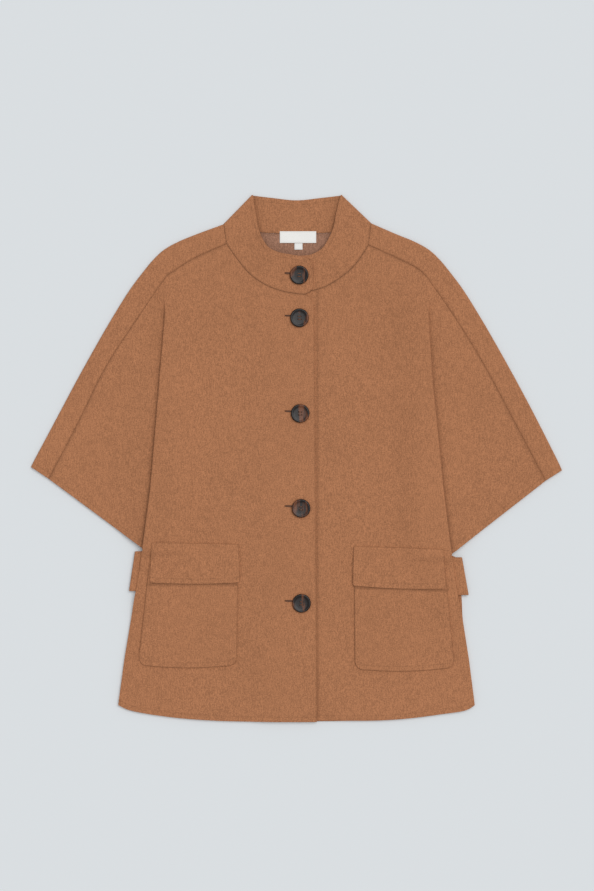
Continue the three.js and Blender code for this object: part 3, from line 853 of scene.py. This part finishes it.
# ---- buttons, their thread and the buttonholes -----------------------------------------
def lathe(name, profile, material, segments=72):
    bm = bmesh.new()
    verts = [bm.verts.new((r * MM, 0, z * MM)) for r, z in profile]
    edges = [bm.edges.new(pair) for pair in zip(verts, verts[1:])]
    bmesh.ops.spin(bm, geom=verts + edges, axis=(0, 0, 1), cent=(0, 0, 0), steps=segments,
                   angle=2 * math.pi, use_merge=True)
    bmesh.ops.remove_doubles(bm, verts=bm.verts, dist=1e-6)
    bmesh.ops.recalc_face_normals(bm, faces=bm.faces)
    for f in bm.faces:
        f.smooth = True
    mesh = bpy.data.meshes.new(name)
    bm.to_mesh(mesh)
    bm.free()
    mesh.materials.append(material)
    obj = bpy.data.objects.new(name, mesh)
    bpy.context.collection.objects.link(obj)
    return obj


def place(obj, x, y, z, tilt=0.0):
    """Moves a piece's mesh, so that the object itself stays at the origin."""
    move = Matrix.Translation((x * MM, y * MM, z * MM))
    obj.data.transform(move @ Matrix.Rotation(tilt, 4, "X"))
    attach(obj, "root")
    return obj


def bar(name, start, end, radius, rise, material):
    """A short round thread or slit from start to end, arched by rise."""
    bm = bmesh.new()
    steps, sides = 14, 10
    rings = []
    s, e = Vector(start), Vector(end)
    ahead = (e - s).normalized()
    across = ahead.cross(Vector((0, 0, 1))).normalized()
    for i in range(steps + 1):
        t = i / steps
        centre = s.lerp(e, t) + Vector((0, 0, rise * math.sin(math.pi * t)))
        r = radius * (0.35 + 0.65 * min(1, 6 * t, 6 * (1 - t)))
        ring = []
        for k in range(sides):
            a = 2 * math.pi * k / sides
            spot = centre + across * r * math.cos(a) + Vector((0, 0, r * math.sin(a)))
            ring.append(bm.verts.new(spot * MM))
        rings.append(ring)
    for a, b in zip(rings, rings[1:]):
        for k in range(sides):
            bm.faces.new((a[k], a[(k + 1) % sides], b[(k + 1) % sides], b[k]))
    bm.faces.new(rings[0][::-1])
    bm.faces.new(rings[-1])
    bmesh.ops.recalc_face_normals(bm, faces=bm.faces)
    for f in bm.faces:
        f.smooth = True
    mesh = bpy.data.meshes.new(name)
    bm.to_mesh(mesh)
    bm.free()
    mesh.materials.append(material)
    obj = bpy.data.objects.new(name, mesh)
    bpy.context.collection.objects.link(obj)
    return obj


horn_look = horn()
brown_thread = thread("thread", srgb(112, 70, 44))
# Painted shade: near-black for the buttons' sewing holes and the buttonhole slits, standing in for the
# shade inside these openings.
painted_hole_shade = thread("slit", srgb(40, 24, 17))
BUTTON_PROFILE = [  # half section: distance from the middle and height
    (0.001, 0), (11.4, 0), (13.2, 0.6), (14, 1.7), (14, 2.5), (13.5, 3.4), (12.7, 3.9), (12, 3.95),
    (11.2, 3.75), (10.2, 3.3), (9.4, 3.05), (8, 2.95), (4, 2.9), (0.001, 2.9),
]
HOLE_PROFILE = [(0.001, 2.7), (1.15, 2.7), (1.15, 2.97), (0.001, 2.97)]
HOLE_OFF = 2.2  # from the button's middle, each way
BUTTON_GAP = 0.3
GRAIN_TURN = 0.9  # each button's grain is turned by this from the last one's
TOP_Z = FRONT_Z + PITCH + CLOTH / 2  # upper face of the lapped cloth at the neck
COLLAR_TILT = COLLAR_RISE / 57
HOLE_START = -17.5  # x of a buttonhole's outer end


def button(i, x, y):
    """A button with two ties and dark discs for its four sewing holes, and a dark slit with two
    lips, laid on the cloth, for its buttonhole; the discs and the slit are painted shade in these
    openings."""
    on_collar = i == 0
    z = TOP_Z + 2.2 if on_collar else float(front_z("left", x, y)) + CLOTH / 2 + BUTTON_GAP
    tilt = COLLAR_TILT if on_collar else 0.0
    name = f"button_{i + 1}"
    disc = lathe(name + "_disc", BUTTON_PROFILE, horn_look)
    disc.data.transform(Matrix.Rotation(GRAIN_TURN * i, 4, "Z"))
    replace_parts(place(disc, x, y, z, tilt), name)
    for k, (dx, dy) in enumerate([(1, 1), (-1, 1), (-1, -1), (1, -1)]):
        hole = lathe(f"hole_{i + 1}_{k + 1}", HOLE_PROFILE, painted_hole_shade, 20)
        place(hole, x + HOLE_OFF * dx, y + HOLE_OFF * dy, z, tilt)
    for k, dy in enumerate((HOLE_OFF, -HOLE_OFF)):
        tie = bar(f"tie_{i + 1}_{k + 1}", (-2.5, dy, 3.0), (2.5, dy, 3.0), 0.55, 0.5, brown_thread)
        place(tie, x, y, z, tilt)
    hx, hy = HOLE_START, y + (3 if on_collar else 3.5)
    hz = TOP_Z + 1.5 + 0.6 if on_collar else float(front_z("left", hx + 5, hy)) + CLOTH / 2
    slit = bar(f"slit_{i + 1}", (hx, hy, hz), (x + 6, hy - 1, hz), 0.7, 0, painted_hole_shade)
    lip_up = bar(f"lip_up_{i + 1}", (hx - 0.6, hy + 0.9, hz), (x + 5, hy, hz), 0.7, 0, brown_thread)
    lip_low = bar(f"lip_low_{i + 1}", (hx - 0.6, hy - 0.9, hz), (x + 5, hy - 1.9, hz), 0.7, 0,
                  brown_thread)
    for part in (slit, lip_up, lip_low):
        place(part, 0, 0, 0)


for i, (x, y) in enumerate(BUTTONS):
    button(i, x, y)


# ---- floor, light, camera --------------------------------------------------------------
def floor():
    bm = bmesh.new()
    bmesh.ops.create_grid(bm, x_segments=2, y_segments=2, size=6)
    mesh = bpy.data.meshes.new("floor")
    bm.to_mesh(mesh)
    bm.free()
    m = Material("floor", Roughness=0.9)
    m.shader.inputs["Specular IOR Level"].default_value = 0.0
    mesh.materials.append(m.made)
    m.shader.inputs["Base Color"].default_value = srgb(218, 222, 225)
    obj = bpy.data.objects.new("floor", mesh)
    bpy.context.collection.objects.link(obj)
    obj.data.transform(Matrix.Translation((0, 0, -0.0002)))


floor()
scene = bpy.context.scene
world = bpy.data.worlds.new("world")
scene.world = world
world.use_nodes = True
world.node_tree.nodes["Background"].inputs[0].default_value = (0.97, 0.985, 1.0, 1)
world.node_tree.nodes["Background"].inputs[1].default_value = 0.53


def lamp(name, towards, angle, strength, color=(1, 1, 1)):
    data = bpy.data.lights.new(name, "SUN")
    data.angle, data.energy, data.color = math.radians(angle), strength, color
    obj = bpy.data.objects.new(name, data)
    bpy.context.collection.objects.link(obj)
    obj.rotation_euler = Vector(towards).to_track_quat("Z", "Y").to_euler()


lamp("key", (0.3, 0.32, 1), 50, 1.66, (1.0, 0.99, 0.975))

CAMERA_HEIGHT = 3.0
VIEW_HEIGHT = 1.3365  # the long side of the picture, on the table
camera = bpy.data.cameras.new("camera")
camera.sensor_width = 36
camera.lens = 36 * CAMERA_HEIGHT / VIEW_HEIGHT
eye = bpy.data.objects.new("camera", camera)
bpy.context.collection.objects.link(eye)
eye.location = (0.00075, 0.018, CAMERA_HEIGHT)
scene.camera = eye
scene.view_settings.view_transform = "Standard"
